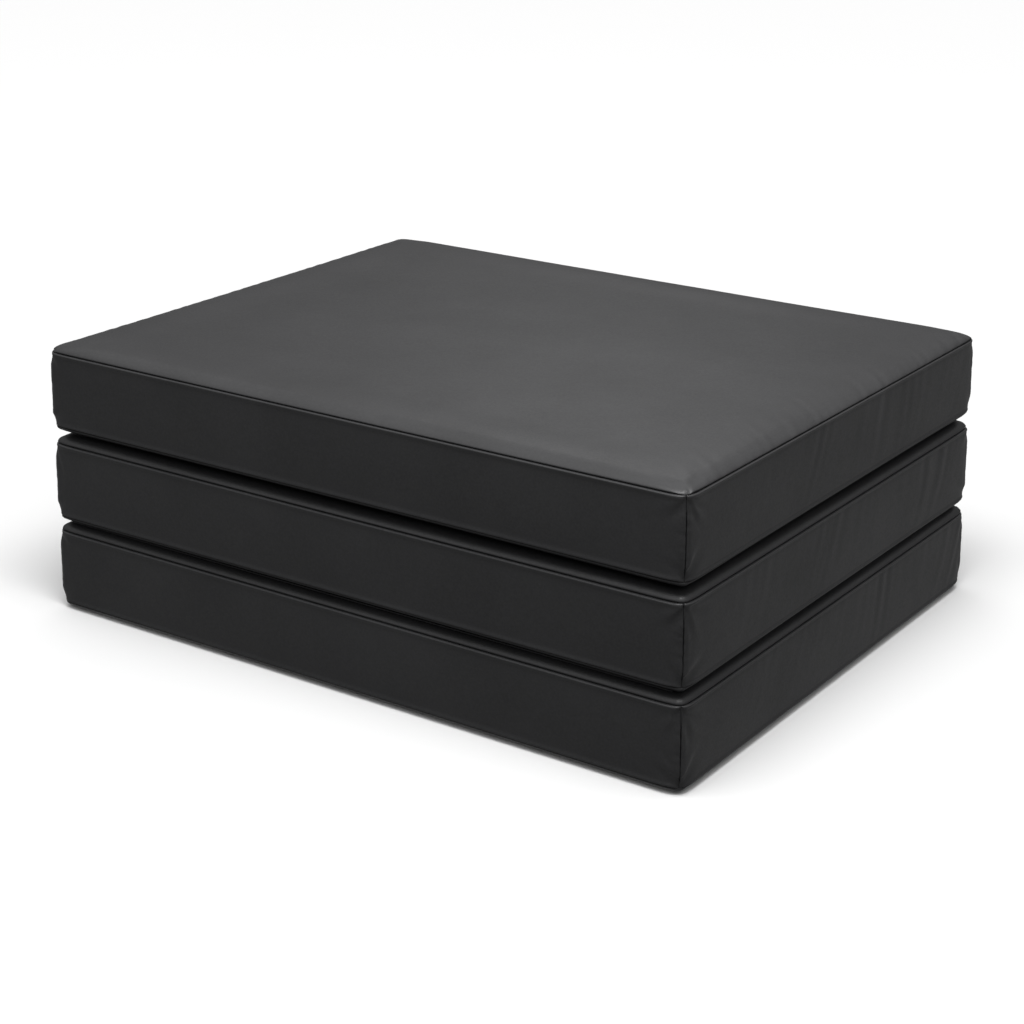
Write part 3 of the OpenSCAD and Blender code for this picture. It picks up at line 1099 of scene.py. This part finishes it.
# Spun polyester sewing thread, dyed black.
thread_material, tree, shader = plain_material("polyester_sewing_thread", "161616", 0.6, 0.4)
GAP_MIDDLE = {"front_hinge_strip": (PAD_BASE["lower"] + PAD_T + PAD_BASE["middle"]) / 2,
              "back_hinge_strip": (PAD_BASE["middle"] + PAD_T + PAD_BASE["upper"]) / 2}
strips = [add_strip("front_hinge_cloth", "front_hinge_strip", -1, GAP_MIDDLE["front_hinge_strip"],
                    ("lower_pad", "middle_pad")),
          add_strip("back_hinge_cloth", "back_hinge_strip", 1, GAP_MIDDLE["back_hinge_strip"],
                    ("middle_pad", "upper_pad"))]
print("hinge strips at heights", [round(h, 4) for h in GAP_MIDDLE.values()])


# %% [markdown]
# ## Floor, light and room
#
# The pads are black, so what shapes them is where the light comes from. A large softbox hangs above
# the front, a small one behind puts the glow on the near part of the top, and the room is bright
# overhead and dim towards the horizon. The cloth is only a little glossy: what faces up is lit,
# what faces sideways stays dark, and the seams' ridges draw a thin pale line.


# %% Floor and lights
def add_area(name, place, size, power, target=(0, 0, 0.15)):
    bpy.ops.object.light_add(type="AREA", location=place)
    light = bpy.context.object
    light.name = name
    light.data.shape = "RECTANGLE"
    light.data.size, light.data.size_y = size
    light.data.energy = power
    light.rotation_euler = (Vector(target) - Vector(place)).to_track_quat("-Z", "Y").to_euler()
    return light


bpy.ops.object.select_all(action="DESELECT")
bpy.ops.mesh.primitive_plane_add(size=60)
floor = bpy.context.object
floor.name = "studio_floor"
material, tree, shader = new_material("matt_white_studio_floor")
place = node(tree, "ShaderNodeTexCoord").outputs["Object"]
away = node(tree, "ShaderNodeVectorMath", {0: place}, operation="LENGTH").outputs["Value"]
away = node(tree, "ShaderNodeMapRange", {"Value": away, "From Min": 0.7, "From Max": 2.2})
# The floor's colour is paler away from the object, where the softbox no longer reaches it: painted
# light that keeps the far floor as white as the lit floor near the object.
painted_floor_light = ramp(tree, away.outputs["Result"], linear("dadada"), linear("ffffff"))
tree.links.new(painted_floor_light, shader.inputs["Base Color"])
shader.inputs["Roughness"].default_value = 0.9
floor.data.materials.append(material)
# The floor is lit but not mirrored, and the room is dim below the horizon, as it is round a table
# with black flags at its sides. The walls then stay dark, and what faces up catches the light.
floor.visible_glossy = floor.visible_diffuse = False
world = bpy.data.worlds.new("studio_room")
bpy.context.scene.world = world
world.use_nodes = True
tree = world.node_tree
direction = node(tree, "ShaderNodeTexCoord").outputs["Generated"]
height = node(tree, "ShaderNodeSeparateXYZ", {"Vector": direction}).outputs["Z"]
strength = node(tree, "ShaderNodeValToRGB", {"Fac": height})
stops = strength.color_ramp.elements
# Height of a direction, and how bright the room is there.
ROOM = ((0.0, 0.115), (0.12, 0.05), (0.3, 0.035), (0.6, 0.3), (1.0, 0.58))
while len(stops) < len(ROOM):
    stops.new(0.5)
for stop, (place, grey) in zip(stops, ROOM):
    stop.position, stop.color = place, (grey, grey, grey, 1)
background = tree.nodes["Background"]
tree.links.new(strength.outputs["Color"], background.inputs["Color"])
background.inputs["Strength"].default_value = 2.9
add_area("overhead_softbox", (0.4, -0.55, 1.75), (0.9, 0.8), 28, (0.05, -0.1, 0.2))
add_area("small_softbox_behind", (-0.66, 1.18, 1.22), (0.65, 0.5), 1.1, (0.22, -0.25, 0.3))
bpy.context.scene.view_settings.view_transform = "Standard"
